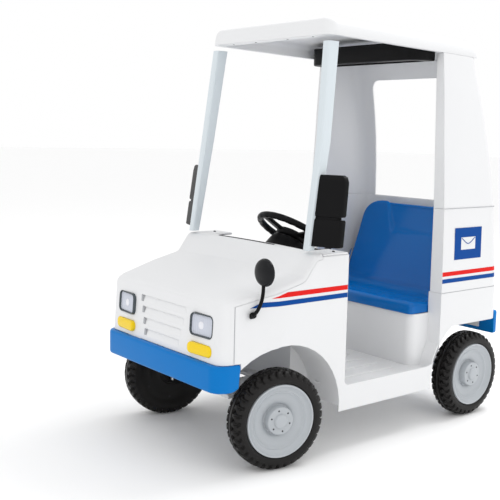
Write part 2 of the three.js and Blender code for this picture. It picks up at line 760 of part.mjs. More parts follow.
// ---------------------------------------------------------------- dashboard and steering boot
const boot = { bottom: -100, top: -22, radius: 58, neck: 46 };
function dashboard() {
  const profile = [
    [-199.4, 400],
    [-199.4, 462],
    [-190, 467],
    [-140, 458],
    [-118, 440],
    [-122, 405],
    [-150, 400],
  ];
  const half = 221.6;
  const [seatFrom, seatTo] = [-230, -60].map((y) => [0, y, columnHeightAt(y)]);
  const bootSeat = bar(seatFrom, seatTo, boot.radius + 1, 24);
  const switchHole = box([-118, -160, 400], [-92, -110, 480]);
  const hollow = [
    [-195, 390],
    [-195, 457],
    [-189, 462],
    [-141, 453.5],
    [-122.5, 437],
    [-126, 410],
    [-150, 390],
  ];
  return cut(
    sideView(profile, -half, half),
    cut(sideView(hollow, -half + SKIN, half - SKIN), box([-66, -FAR, 0], [66, FAR, FAR])),
    bootSeat,
    switchHole,
  );
}
add("dashboard", dashboard(), paint.black);

// Pieces of the steering column are laid out along its own axis, with Z along the column.
const columnFrame = new THREE.Group();
columnFrame.position.copy(steeringWheel.centre);
columnFrame.rotation.x = -steeringWheel.tilt;
truck.add(columnFrame);

// A closed profile of [radius, z] turned about Z.
const turned = (profile, facets = 24) => lathe(profile, facets).rotateY(-Math.PI / 2);

add(
  "steering_boot",
  turned([
    [7.5, boot.bottom],
    [boot.radius, boot.bottom],
    [boot.radius, boot.bottom + 28],
    [55, -52],
    [51, -36],
    [boot.neck, boot.top - 2],
    [boot.neck, boot.top],
    [7.5, boot.top],
  ]),
  paint.black,
  columnFrame,
);

const handwheel = new THREE.Group();
handwheel.rotation.z = steer.angle * steer.wheelRatio;
columnFrame.add(handwheel);

function steeringWheelShape() {
  const rim = new THREE.TorusGeometry(steeringWheel.radius, steeringWheel.rim, 8, 24);
  const hub = turned([[6.5, -20], [40, -20], [44, -12], [42, -2], [18, -2], [18, -8], [6.5, -8]]);
  const spoke = (degrees) => {
    const t = THREE.MathUtils.degToRad(degrees);
    const reach = steeringWheel.radius - 3;
    return new THREE.BoxGeometry(reach - 22, 24, 9).translate((reach + 22) / 2, 0, -7).rotateZ(t);
  };
  return join(rim, hub, ...[0, 180, 270].map(spoke));
}
add("steering_wheel", steeringWheelShape(), paint.black, handwheel);
add("horn_button", turned([[0, -7], [17.4, -7], [17.4, 0], [14, 2.5], [0, 3.5]]), paint.grey, handwheel);

// The column's foot is bent into a crank whose pin moves the tie rod.
const columnFoot = (steeringWheel.centre.z - 150) / Math.cos(steeringWheel.tilt);
function steeringColumn() {
  const shaft = bar([0, 0, -columnFoot], [0, 0, -8.6], 6);
  const web = bar([0, 0, -columnFoot + 5], [0, steer.crank, -columnFoot + 5], 5.5);
  const pin = bar([0, steer.crank, -columnFoot + 8], [0, steer.crank, -columnFoot - 27], 4);
  return join(shaft, web, pin, bar([0, 0, -columnFoot - 1], [0, 0, -columnFoot + 12], 6.5));
}
add("steering_column", steeringColumn(), paint.steel, handwheel);

const toeBoardAt = (floorPlate.toeBoard - SKIN / 2 - steeringWheel.centre.y) / Math.sin(steeringWheel.tilt);
add(
  "column_bushing",
  turned([[6.3, toeBoardAt - 16], [12, toeBoardAt - 16], [12, toeBoardAt + 16], [6.3, toeBoardAt + 16]]),
  paint.grey,
  columnFrame,
);

// ---------------------------------------------------------------- front axle and steering linkage
function axleBeam() {
  const [y, x] = [frontAxle.y, frontAxle.kingpinX];
  const beam = box([-x + 13, y - 12, 124.6], [x - 13, y + 12, 138]);
  const end = join(
    box([x - 24, y - 12, 94], [x - 13, y + 12, 138]),
    box([x - 16, y - 12, 124.6], [x + 12, y + 12, 130]),
    box([x - 16, y - 12, 94], [x + 12, y + 12, 98.5]),
  );
  const post = box([60, y - 12, 136], [90, y + 12, floorPlate.bottom - GAP]);
  const kingpinHole = bar([x, y, 80], [x, y, 150], 4.4);
  return cut(join(beam, both(end), both(post)), both(kingpinHole));
}
add("front_axle_beam", axleBeam(), paint.black);

// The bar's holes are long, so that the knuckle pins and the crank pin can swing in them.
const barShift = -steer.arm * Math.sin(steer.angle);
function tieRod() {
  const [y, x] = [frontAxle.y + steer.arm, frontAxle.kingpinX];
  const plan = [
    ...arc(x, y, 8, -90, 90, 5),
    [40, y + 8],
    [26, y + 22],
    [-26, y + 22],
    [-40, y + 8],
    ...arc(-x, y, 8, 90, 270, 5),
    [-40, y - 8],
    [-26, y - 26],
    [26, y - 26],
    [40, y - 8],
  ];
  const pinSlot = planView(roundedBox(4, 6, 3.9, 3).map(([a, b]) => [a + x, b + y - 0.8]), 0, 200);
  const crankSlot = box([-4.9, y - 19, 0], [4.9, y + 15, 200]);
  return cut(planView(plan, 111, 115), both(pinSlot), crankSlot).translate([barShift, 0, 0]);
}
add("tie_rod", tieRod(), paint.steel);

// A wheel corner is laid out with its kingpin at the origin and the wheel outboard along +X.
function knuckle() {
  const boss = bar([0, 0, 99 - axleHeight], [0, 0, 124 - axleHeight], 10, 20);
  const spindle = bar([4, 0, 0], [wheel.spindleEnd, 0, 0], wheel.spindle);
  const arm = planView(
    [
      ...arc(0, 0, 8, 180, 360, 5),
      [6, steer.arm - 4],
      ...arc(0, steer.arm, 7, 0, 180, 5),
      [-6, steer.arm - 4],
    ],
    102 - axleHeight,
    109 - axleHeight,
  );
  const pin = bar([0, steer.arm, 106 - axleHeight], [0, steer.arm, 121 - axleHeight], 3, 12);
  return cut(join(boss, spindle, arm, pin), bar([0, 0, -60], [0, 0, 60], 4.4, 20));
}

function kingpin() {
  const [foot, seat, neck, top] = [91, 130.6, 133, 135].map((z) => [0, 0, z - axleHeight]);
  return join(bar(foot, neck, 4), bar(seat, top, 7.5, 6));
}

// ---------------------------------------------------------------- wheels
const tyreProfile = [
  [6, 22],
  [26, 22],
  [34, 32],
  [74, 32],
  [92, 24],
  [106, 26],
  [112, 36],
  [112, 66],
  [106, 76],
  [92, 80],
  [83, 78.5],
  [82.4, 56],
  [22, 54],
  [6, 54],
];
const coverProfile = [
  [0, 84],
  [13, 84],
  [16, 82],
  [16, 77.5],
  [31, 77.5],
  [32, 63],
  [40, 63.5],
  [60, 68],
  [64, 72],
  [67, 71],
  [78, 80.6],
  [81.8, 79.5],
  [81.8, 56.4],
  [30, 56.4],
  [29, 74.6],
  [0, 74.6],
];

function wheelOn(hub, place) {
  add("wheel_" + place, lathe(tyreProfile), paint.tyre, hub);
  add("wheel_cover_" + place, lathe(coverProfile), paint.grey, hub);
  const bore = wheel.spindle + GAP;
  const nut = lathe([[bore, 54.6], [10, 54.6], [10, 60.4], [bore, 60.4]], 20);
  add("wheel_nut_" + place, nut, paint.steel, hub);
}

for (const { side, sign } of sides) {
  const corner = new THREE.Group();
  corner.position.set(sign * frontAxle.kingpinX, frontAxle.y, axleHeight);
  corner.rotation.z = steer.angle;
  truck.add(corner);
  add("steering_knuckle_" + side, onSide(knuckle(), sign), paint.steel, corner);
  add("kingpin_" + side, kingpin(), paint.steel, corner);
  const hub = new THREE.Group();
  hub.rotation.y = sign > 0 ? 0 : Math.PI;
  corner.add(hub);
  wheelOn(hub, "front_" + side);

  const rearHub = new THREE.Group();
  rearHub.position.set(sign * rearAxle.hubX, rearAxle.y, axleHeight);
  rearHub.rotation.y = hub.rotation.y;
  truck.add(rearHub);
  wheelOn(rearHub, "rear_" + side);
}

// ---------------------------------------------------------------- rear axle and drive
const onRearAxle = (x) => [x, rearAxle.y, axleHeight];
const axleEnd = rearAxle.hubX + wheel.spindleEnd;
add("rear_axle", bar(onRearAxle(-axleEnd), onRearAxle(axleEnd), wheel.spindle, 20), paint.steel);

function axleBracket() {
  const outline = [
    [rearAxle.y - 16, 98],
    [rearAxle.y + 16, 98],
    [rearAxle.y + 30, deck.bottom - GAP],
    [rearAxle.y - 30, deck.bottom - GAP],
  ];
  return cut(sideView(outline, 120, 128), bar(onRearAxle(100), onRearAxle(150), wheel.spindle + 0.1, 20));
}
for (const { side, sign } of sides) {
  add("rear_axle_bracket_" + side, onSide(axleBracket(), sign), paint.steel);
}

// The gearbox hangs on the axle beside the right wheel, and its coupler turns that wheel.
const hubFace = -(rearAxle.hubX + wheel.innerFace);
function gearbox() {
  const outline = [
    ...arc(rearAxle.y, axleHeight, 34, -90, 90, 6),
    ...arc(rearAxle.y - 62, axleHeight + 20, 26, 90, 270, 6),
  ];
  return cut(
    sideView(outline, hubFace + 9, hubFace + 49),
    bar(onRearAxle(-FAR), onRearAxle(0), wheel.spindle + 0.5, 20),
    box([hubFace + 49 - 6, rearAxle.y - 62 - 7, axleHeight + 13], [0, rearAxle.y - 62 + 7, axleHeight + 27]),
  );
}
add("gearbox_housing", gearbox(), paint.black);
add(
  "drive_coupler",
  lathe([[6, 0.4], [24, 0.4], [24, 8.4], [6, 8.4]], 24).translate(hubFace, rearAxle.y, axleHeight),
  paint.grey,
);
const motorAt = [hubFace + 49 + GAP, rearAxle.y - 62, axleHeight + 20];
function motor() {
  const can = bar(motorAt, [motorAt[0] + 57, motorAt[1], motorAt[2]], 18.5, 20);
  const tail = bar(motorAt, [motorAt[0] + 63, motorAt[1], motorAt[2]], 6, 12);
  const shaft = bar([motorAt[0] - 5, motorAt[1], motorAt[2]], motorAt, 3, 12);
  return join(can, tail, shaft);
}
add("drive_motor", motor(), paint.steel);

// ---------------------------------------------------------------- battery, pedal and switches
add("battery", box([-55, 160, floorPlate.top + GAP], [55, 210, 226]), paint.battery);
function batteryStrap() {
  const outer = box([-12, 155.6, floorPlate.top + GAP], [12, 214.4, 230]);
  return cut(outer, box([-20, 160 - GAP, 0], [20, 210 + GAP, 226 + GAP]));
}
add("battery_strap", batteryStrap(), paint.black);

const pedalFrame = new THREE.Group();
pedalFrame.position.set(pedal.x, pedal.pivotY, pedal.pivotZ);
pedalFrame.rotation.x = -pedal.tilt;
truck.add(pedalFrame);
function pedalShape() {
  const pad = box([-28, -pedal.length, 0], [28, 4, 6]);
  const treads = [-70, -56, -42, -28, -14].map((y) => box([-22, y - 3, 5], [22, y + 3, 8]));
  return join(pad, ...treads, bar([-33, 2, 2], [33, 2, 2], 4.5, 12));
}
add("accelerator_pedal", pedalShape(), paint.black, pedalFrame);

const springAt = [pedal.x, pedal.pivotY - 46, floorPlate.top + floorRibs.height];
function pedalSpring() {
  const [turns, stepsPerTurn, height, radius] = [4, 8, 26, 8];
  const points = Array.from({ length: turns * stepsPerTurn + 1 }, (_, i) => {
    const t = (i / stepsPerTurn) * 2 * Math.PI;
    const climb = 1.8 + (height * i) / (turns * stepsPerTurn);
    return [springAt[0] + radius * Math.cos(t), springAt[1] + radius * Math.sin(t), springAt[2] + climb];
  });
  return tube(points, 1.1, 5, turns * stepsPerTurn);
}
add("pedal_spring", pedalSpring(), paint.steel);
add(
  "pedal_switch",
  box([pedal.x - 10, -150, floorPlate.top + floorRibs.height + GAP], [pedal.x + 10, -132, pedal.pivotZ + 8]),
  paint.black,
);

function rockerSwitch() {
  const face = [[-5, -16], [-1, -16], [3, -11], [1.5, 0], [3, 11], [-1, 16], [-5, 16]];
  const profile = [...face, [-12, 4], [-12, -4]];
  return sideView(profile, -11, 11);
}
const rocker = new THREE.Group();
rocker.position.set(-105, -130, 436);
rocker.rotation.x = -0.35;
truck.add(rocker);
add("direction_switch", rockerSwitch(), paint.grey, rocker);

add(
  "charge_socket",
  lathe([[0, 12], [4, 12], [4, 0], [11, 0], [11, 3], [8, 3], [8, 14], [0, 14]], 16)
    .rotateZ(Math.PI / 2)
    .translate(chargeSocket.x, riser.front - 3 - GAP, chargeSocket.z),
  paint.black,
);

export default truck;
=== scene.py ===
import math

import bmesh
import bpy
from mathutils import Matrix, Vector


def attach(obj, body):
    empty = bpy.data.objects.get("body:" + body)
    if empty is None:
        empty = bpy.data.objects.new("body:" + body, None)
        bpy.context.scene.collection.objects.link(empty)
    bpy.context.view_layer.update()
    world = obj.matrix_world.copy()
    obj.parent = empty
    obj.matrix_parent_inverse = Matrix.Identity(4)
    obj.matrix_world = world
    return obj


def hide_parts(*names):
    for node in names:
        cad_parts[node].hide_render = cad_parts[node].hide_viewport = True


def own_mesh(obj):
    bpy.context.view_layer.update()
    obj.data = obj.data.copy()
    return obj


MM = 0.001
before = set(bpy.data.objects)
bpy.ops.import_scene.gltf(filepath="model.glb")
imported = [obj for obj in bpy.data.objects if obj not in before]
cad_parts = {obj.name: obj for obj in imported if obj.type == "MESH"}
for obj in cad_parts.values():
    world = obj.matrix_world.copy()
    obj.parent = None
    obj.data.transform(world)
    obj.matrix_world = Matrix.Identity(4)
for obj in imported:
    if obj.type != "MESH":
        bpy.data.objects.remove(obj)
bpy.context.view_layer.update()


# ---------------------------------------------------------------- materials
def material(
    name, color, rough, spread=0.05, grain=0.0, grain_scale=900,
    coat=0.0, metal=0.0, edge=1.5, tint=0.03, gloss=0.4,
):
    """Moulded or metal surface: mottled roughness and tint, fine grain, and softly rounded edges."""
    mat = bpy.data.materials.new(name)
    mat.use_nodes = True
    nodes, links = mat.node_tree.nodes, mat.node_tree.links
    surface = nodes["Principled BSDF"]
    surface.inputs["Metallic"].default_value = metal
    surface.inputs["Specular IOR Level"].default_value = gloss
    surface.inputs["Coat Weight"].default_value = coat
    surface.inputs["Coat Roughness"].default_value = 0.08
    place = nodes.new("ShaderNodeTexCoord")
    cloud = nodes.new("ShaderNodeTexNoise")
    cloud.inputs["Scale"].default_value = 9
    cloud.inputs["Detail"].default_value = 5
    links.new(place.outputs["Object"], cloud.inputs["Vector"])
    spread_rough = nodes.new("ShaderNodeMapRange")
    spread_rough.inputs["To Min"].default_value = max(rough - spread, 0.02)
    spread_rough.inputs["To Max"].default_value = rough + spread
    links.new(cloud.outputs["Fac"], spread_rough.inputs["Value"])
    links.new(spread_rough.outputs["Result"], surface.inputs["Roughness"])
    tones = nodes.new("ShaderNodeMix")
    tones.data_type = "RGBA"
    tones.inputs["A"].default_value = (*[c * (1 - tint) for c in color], 1)
    tones.inputs["B"].default_value = (*[min(c * (1 + tint), 1) for c in color], 1)
    links.new(cloud.outputs["Fac"], tones.inputs["Factor"])
    links.new(tones.outputs["Result"], surface.inputs["Base Color"])
    normal = None
    if edge:
        rounded = nodes.new("ShaderNodeBevel")
        rounded.samples = 6
        rounded.inputs["Radius"].default_value = edge * MM
        normal = rounded.outputs["Normal"]
    if grain:
        fine = nodes.new("ShaderNodeTexNoise")
        fine.inputs["Scale"].default_value = grain_scale
        fine.inputs["Detail"].default_value = 3
        links.new(place.outputs["Object"], fine.inputs["Vector"])
        bump = nodes.new("ShaderNodeBump")
        bump.inputs["Strength"].default_value = grain
        bump.inputs["Distance"].default_value = 0.0004
        links.new(fine.outputs["Fac"], bump.inputs["Height"])
        if normal:
            links.new(normal, bump.inputs["Normal"])
        normal = bump.outputs["Normal"]
    if normal:
        links.new(normal, surface.inputs["Normal"])
    mat.diffuse_color = (*color, 1)
    return mat


WHITE = material("white plastic", (0.76, 0.765, 0.775), 0.38, 0.06, grain=0.05, edge=2.2, tint=0.012)
PILLAR = material("pillar plastic", (0.64, 0.7, 0.735), 0.3, 0.05, grain=0.04, coat=0.1, edge=2.0, tint=0.01)
BLUE = material("bumper blue", (0.0, 0.17, 0.52), 0.3, 0.06, grain=0.05, edge=2.5, gloss=0.12)
SEAT = material("seat blue", (0.0, 0.125, 0.43), 0.14, 0.04, grain=0.03, edge=2.0, gloss=0.24)
BLACK = material(
    "black plastic", (0.005, 0.005, 0.0055), 0.4, 0.08, 0.2, 1500, edge=1.2, tint=0.15, gloss=0.1
)
GLOSS_BLACK = material("gloss black", (0.01, 0.0105, 0.012), 0.16, 0.04, edge=0.8, tint=0.1, gloss=0.15)
TYRE = material("tyre plastic", (0.008, 0.0072, 0.007), 0.36, 0.08, 0.25, 700, edge=0.9, tint=0.2, gloss=0.22)
GREY = material("wheel grey", (0.43, 0.455, 0.48), 0.36, 0.07, grain=0.06, edge=0.8, tint=0.03)
BEZEL = material("bezel", (0.07, 0.085, 0.095), 0.25, 0.05, metal=0.4, edge=0.8)
LENS = material("lamp lens", (0.55, 0.58, 0.66), 0.16, 0.05, coat=0.5, edge=0.5)
BULB = material("lamp centre", (0.76, 0.77, 0.82), 0.1, 0.03, coat=0.5, edge=0.0)
AMBER = material("turn signal", (0.86, 0.6, 0.002), 0.2, 0.05, edge=1.0, gloss=0.35)
RED = material("red stripe", (0.72, 0.012, 0.01), 0.35, 0.04, edge=0.0, gloss=0.1)
NAVY = material("blue stripe", (0.0, 0.06, 0.29), 0.35, 0.04, edge=0.0, gloss=0.1)
STEEL = material("zinc steel", (0.52, 0.53, 0.55), 0.34, 0.1, grain=0.15, metal=1.0, edge=0.6, tint=0.08)
MIRROR = material("mirror film", (0.9, 0.91, 0.92), 0.03, 0.01, metal=1.0, edge=0.0)
CASE = material("battery case", (0.03, 0.034, 0.038), 0.5, 0.08, grain=0.2, edge=1.0)
WEB = material("strap webbing", (0.02, 0.02, 0.022), 0.85, 0.08, grain=0.6, grain_scale=1800, edge=0.0)
# Near-black painted shadow: flat discs and sheets laid on gaps, holes, a vent slot and a screw, where those
# openings show shade.
SHADOW = material("painted_gap_shadow", (0.015, 0.015, 0.017), 0.8, 0.05, edge=0.0)
# Mid grey painted shade: thin strips laid along joint lines and louvre ends where gaps and recesses show
# shade.
SEAM_SHADE = material("seam line", (0.38, 0.39, 0.41), 0.6, 0.05, edge=0.0)


# ---------------------------------------------------------------- shapes
def smooth(mesh, degrees=38):
    """Smooth shading, with the edges that turn more than so many degrees left crisp."""
    shape = bmesh.new()
    shape.from_mesh(mesh)
    bmesh.ops.recalc_face_normals(shape, faces=shape.faces)
    for face in shape.faces:
        face.smooth = True
    for edge in shape.edges:
        edge.smooth = len(edge.link_faces) != 2 or edge.calc_face_angle(0) < math.radians(degrees)
    shape.to_mesh(mesh)
    shape.free()


def piece(name, verts, faces, mat, body="chassis", replaces=(), bevel=0.0, angle=38, segments=3):
    """One mesh object from mm coordinates, riding on a CAD body."""
    mesh = bpy.data.meshes.new(name)
    mesh.from_pydata([Vector(v) * MM for v in verts], [], faces)
    mesh.materials.append(mat)
    obj = bpy.data.objects.new(name.replace(" ", "_"), mesh)
    bpy.context.scene.collection.objects.link(obj)
    smooth(mesh, angle)
    return settle(obj, body, replaces, bevel, segments)


def settle(obj, body, replaces, bevel=0.0, segments=3):
    if bevel:
        rounding = obj.modifiers.new("rounding", "BEVEL")
        rounding.width = bevel * MM
        rounding.segments = segments
        rounding.limit_method = "ANGLE"
        rounding.angle_limit = math.radians(35)
    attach(obj, body)
    if replaces:
        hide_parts(*replaces)
    return obj


def moulded(node, mat, body="chassis", angle=32):
    """A finer-shaded skin over a CAD node's own outline."""
    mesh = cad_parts[node].data.copy()
    mesh.materials.clear()
    mesh.materials.append(mat)
    shape = bmesh.new()
    shape.from_mesh(mesh)
    bmesh.ops.remove_doubles(shape, verts=shape.verts, dist=1e-5)
    bmesh.ops.dissolve_limit(shape, angle_limit=math.radians(0.4), verts=shape.verts, edges=shape.edges)
    for face in shape.faces:
        face.material_index = 0
    shape.to_mesh(mesh)
    shape.free()
    obj = bpy.data.objects.new(node + "_skin", mesh)
    bpy.context.scene.collection.objects.link(obj)
    smooth(mesh, angle)
    return settle(obj, body, [node])


def arc(a, b, radius, start, end, steps=6):
    turns = [math.radians(start + (end - start) * i / steps) for i in range(steps + 1)]
    return [(a + radius * math.cos(t), b + radius * math.sin(t)) for t in turns]


def rounded(half_a, half_b, r, steps=6):
    return (
        arc(half_a - r, half_b - r, r, 0, 90, steps)
        + arc(r - half_a, half_b - r, r, 90, 180, steps)
        + arc(r - half_a, r - half_b, r, 180, 270, steps)
        + arc(half_a - r, r - half_b, r, 270, 360, steps)
    )


def loft(rings, closed=True, caps=(True, True)):
    """Vertices and faces through rings of equal length."""
    n = len(rings[0])
    verts = [p for ring in rings for p in ring]
    span = n if closed else n - 1
    faces = [
        (i * n + j, i * n + (j + 1) % n, (i + 1) * n + (j + 1) % n, (i + 1) * n + j)
        for i in range(len(rings) - 1)
        for j in range(span)
    ]
    if caps[0]:
        faces.append(tuple(range(n))[::-1])
    if caps[1]:
        faces.append(tuple((len(rings) - 1) * n + j for j in range(n)))
    return verts, faces


def sheet(rows):
    """An open surface through rows of points."""
    return loft(rows, closed=False, caps=(False, False))


def turned(profile, steps=96, bumps=None):
    """Rings about X from a profile of (radius, x). bumps(r, x, angle) gives each point's own radius."""
    angles = [2 * math.pi * i / steps for i in range(steps)]
    radius = bumps or (lambda r, x, a: r)
    rings = [
        [(x, radius(r, x, a) * math.cos(a), radius(r, x, a) * math.sin(a)) for a in angles]
        for r, x in profile
    ]
    return loft(rings, caps=(False, False))


def placed(shape, matrix):
    verts, faces = shape
    return [tuple(matrix @ Vector(v)) for v in verts], faces


def merged(*shapes):
    verts, faces = [], []
    for v, f in shapes:
        faces += [tuple(i + len(verts) for i in face) for face in f]
        verts += v
    return verts, faces


def block(low, high, r=1.5, steps=3):
    """A box with rounded upright edges and eased rims."""
    (x0, y0, z0), (x1, y1, z1) = low, high
    cx, cy, hx, hy = (x0 + x1) / 2, (y0 + y1) / 2, (x1 - x0) / 2, (y1 - y0) / 2
    ease = min(r * 0.6, (z1 - z0) / 3)
    levels = [(z0, ease), (z0 + ease, 0), (z1 - ease, 0), (z1, ease)]
    rings = []
    for z, inset in levels:
        outline = rounded(hx - inset, hy - inset, max(r - inset, 0.3), steps)
        rings.append([(cx + a, cy + b, z) for a, b in outline])
    return loft(rings)


def tube(points, radius, sides=14, per_span=8):
    """A round tube along a smooth curve through points."""
    pts = [Vector(p) for p in points]
    ext = [2 * pts[0] - pts[1], *pts, 2 * pts[-1] - pts[-2]]
    line = []
    for i in range(1, len(ext) - 2):
        p0, p1, p2, p3 = ext[i - 1 : i + 3]
        for k in range(per_span):
            t = k / per_span
            square = (2 * p0 - 5 * p1 + 4 * p2 - p3) * t**2
            cube = (3 * p1 - p0 - 3 * p2 + p3) * t**3
            line.append(0.5 * (2 * p1 + (p2 - p0) * t + square + cube))
    line.append(pts[-1])
    side = Vector((1, 0, 0))
    turns = [2 * math.pi * j / sides for j in range(sides)]
    rings = []
    for i, p in enumerate(line):
        along = (line[min(i + 1, len(line) - 1)] - line[max(i - 1, 0)]).normalized()
        if abs(side.dot(along)) < 0.99:
            side = (side - along * side.dot(along)).normalized()
        else:
            side = along.orthogonal()
        up = along.cross(side)
        rings.append([tuple(p + (side * math.cos(t) + up * math.sin(t)) * radius) for t in turns])
    return loft(rings)


def ball_cap(radius, height, x, steps=8):
    """Profile points of a dome from its rim to its crown."""
    turns = [math.pi / 2 * i / steps for i in range(steps)]
    return [(radius * math.cos(t), x + height * math.sin(t)) for t in turns] + [(0.01, x + height)]


def turn(axis, degrees):
    return Matrix.Rotation(math.radians(degrees), 4, axis)


def at(x, y, z):
    return Matrix.Translation(Vector((x, y, z)))


SIDES = (("left", 1), ("right", -1))
STEER = -11.5  # the front wheels stand this many degrees to the right
AXLE_HEIGHT, FRONT_AXLE, REAR_AXLE = 111.042, -304, 348
DOOR_FRONT, DOOR_REAR = -124, 213
PILLAR_FOOT_Z = 471.5

# ---------------------------------------------------------------- body shells
for node in ("hood_fascia", "lower_body", "rear_mid_body", "rear_upper_body"):
    moulded(node, WHITE)
moulded("dashboard", BLACK)
moulded("front_axle_beam", BLACK)
for node in ("tie_rod", "rear_axle", "rear_axle_bracket_left", "rear_axle_bracket_right", "kingpin_left"):
    moulded(node, STEEL, "tie_rod" if node == "tie_rod" else "chassis")
moulded("kingpin_right", STEEL)

# Roof: one moulded shell from the inside crown, round the rim, and up to the outside crown.
ROOF_HALF, ROOF_FRONT, ROOF_REAR, ROOF_EDGE, ROOF_FALL = 226, -176, 362, 957, 0.0275


def roof_ring(lift, side, front, rear, corner=25):
    y0, y1 = ROOF_FRONT + front, ROOF_REAR - rear
    outline = rounded(ROOF_HALF - side, (y1 - y0) / 2, max(corner - side * 0.35, 9), 8)
    points = [(a, b + (y0 + y1) / 2) for a, b in outline]
    return [(x, y, ROOF_EDGE - (y - ROOF_FRONT) * ROOF_FALL + lift) for x, y in points]


ROOF_OUTSIDE = [
    (0, 0.6, 0.6, 0.6), (3, 0, 0, 0.6), (14, 1.5, 0.6, 4), (24, 4, 2, 9.5), (30, 6.5, 3.5, 15),
    (34.5, 10, 6, 23), (37.5, 14, 9, 32), (39.8, 20, 14, 44), (41, 28, 22, 58), (42.2, 45, 40, 80),
    (43.6, 80, 80, 125), (45.4, 150, 150, 190), (45.9, 215, 240, 240),
]
ROOF_WALL = 4.2
ROOF_INSIDE = [
    (lift - ROOF_WALL, *[inset + ROOF_WALL for inset in insets]) for lift, *insets in ROOF_OUTSIDE[3:]
][::-1]
FLANGE = [(6, 13, 30, 14), (4, 13.5, 30, 14.5), (0.3, 13.5, 29, 14), (0, 3, 3, 3)]
piece(
    "roof shell",
    *loft([roof_ring(*e) for e in ROOF_INSIDE + FLANGE + ROOF_OUTSIDE]),
    WHITE,
    replaces=["roof"],
    angle=50,
)
# Painted shade: flat near-black discs under the roof's front flange stand for its screw holes.
for x in (-150, -60, 60, 150):
    hole = turned([(0.01, 0.2), (2.6, 0.2), (2.6, -0.4)], 16)
    spot = at(x, ROOF_FRONT + 17, ROOF_EDGE - 17 * ROOF_FALL - 0.1)
    piece(f"roof screw {x}", *placed(hole, spot @ turn("Y", 90)), SHADOW)

# Windshield pillars, bowed a little outward.
PILLAR_LEVELS = [
    (0.012, 9, 11), (0.25, 9.8, 12.8), (0.5, 10.5, 14.5), (0.75, 10.8, 15.6), (0.962, 11, 16.5),
]
PILLAR_BOW = 5
FOOT, HEAD = Vector((225, -222, PILLAR_FOOT_Z)), Vector((208, -155, 962))
for side, s in SIDES:
    rings = []
    for t, a, b in PILLAR_LEVELS:
        mid = FOOT.lerp(HEAD, t) + Vector((1, 1, 0)) * PILLAR_BOW * (1 - abs(2 * t - 1))
        rings.append([(s * (mid.x + x), mid.y + y, mid.z) for x, y in rounded(a, b, a * 0.42, 6)])
    piece(f"windshield pillar {side}", *loft(rings), PILLAR, replaces=[f"a_pillar_{side}"])

for side, s in SIDES:
    cap = block((186, -203.4, 465.1), (254.6, DOOR_FRONT, 470), 3)
    piece(f"door ledge cap {side}", *placed(cap, Matrix.Diagonal((s, 1, 1, 1))), WHITE)

# Overhead console: a tray with a bowed front and a ledge.
def console_ring(z, inset):
    r = 42 - inset
    half, back = 202 - inset, 208 - min(inset, 2)
    corner = arc(r - half, 140 + inset + r, r, 180, 262, 8)
    right = [(-half, back)] + corner + [(-80, 137.5 + inset), (0, 136 + inset)]
    return [(x, y, z) for x, y in right + [(-x, y) for x, y in right[:-1][::-1]]]


CONSOLE = [
    (971, 3), (930, 3), (929, 6), (929, 30), (926, 30), (926, 3), (927, 1.2), (929, 0.3), (971, 0),
]
tray = loft([console_ring(*e) for e in CONSOLE])
piece("overhead console tray", *tray, BLACK, replaces=["overhead_console"])


# ---------------------------------------------------------------- mirrors
MIRROR_INNER, MIRROR_FOOT = 234.4, 487


def mirror_y(x, depth, z):
    """Y of a point so deep in the side mirror, which leans with its pillar and is swept back."""
    out = x - MIRROR_INNER
    lean = -214 + (z - PILLAR_FOOT_Z) * 0.137
    return depth * (1 - out * 0.004) + out * 0.32 + lean


def mirror_ring(z, outer, front, back, corner=7):
    x0 = MIRROR_INNER - (z - MIRROR_FOOT) * 0.008
    x1 = outer - (z - MIRROR_FOOT) * 0.05
    outline = [(x0, front)] + arc(x1 - corner, front + corner, corner, -90, 0, 5)
    outline += arc(x1 - 3.5, back - 3.5, 3.5, 0, 90, 4) + [(x0, back)]
    return [(x, mirror_y(x, y, z), z) for x, y in outline]


MIRROR_LEVELS = [
    (487.4, 295, -9, 9), (489.5, 298, -11, 11), (544, 299, -11, 11), (548.5, 297.5, -10, 10),
    (549, 290, -8, 8), (554, 290, -8, 8), (555, 297.5, -10, 10), (559, 299, -11, 11),
    (632, 299, -11, 11), (643, 295, -10.5, 10.5), (646.6, 289, -8.5, 8.5),
]
for side, s in SIDES:
    rings = [mirror_ring(*e) for e in MIRROR_LEVELS]
    flipped = [[(s * x, y, z) for x, y, z in ring] for ring in rings]
    piece(f"side mirror housing {side}", *loft(flipped), BLACK, replaces=[f"side_mirror_{side}"])
    rings = []
    for grow, depth in ((0, 10.6), (0, 11.3), (2.2, 11.7)):
        quad = []
        for z, x in ((565, 242), (565, 290), (638, 287), (638, 241.5)):
            x_in = x + (grow if x < 260 else -grow)
            z_in = z + (grow if z < 600 else -grow)
            quad.append((s * x_in, mirror_y(x_in, depth, z_in), z_in))
        rings.append(quad)
    piece(f"side mirror pane {side}", *loft(rings), MIRROR, replaces=[f"mirror_pane_{side}"])
    # The screw is a small dome in the near-black painted-shadow material.
    screw = turned([(0.01, 2.2), (2.4, 2), (3.4, 1), (3.6, 0)], 20)
    piece(f"mirror screw {side}", *placed(screw, at(s * 231, -150, 470) @ turn("Y", -90)), SHADOW)

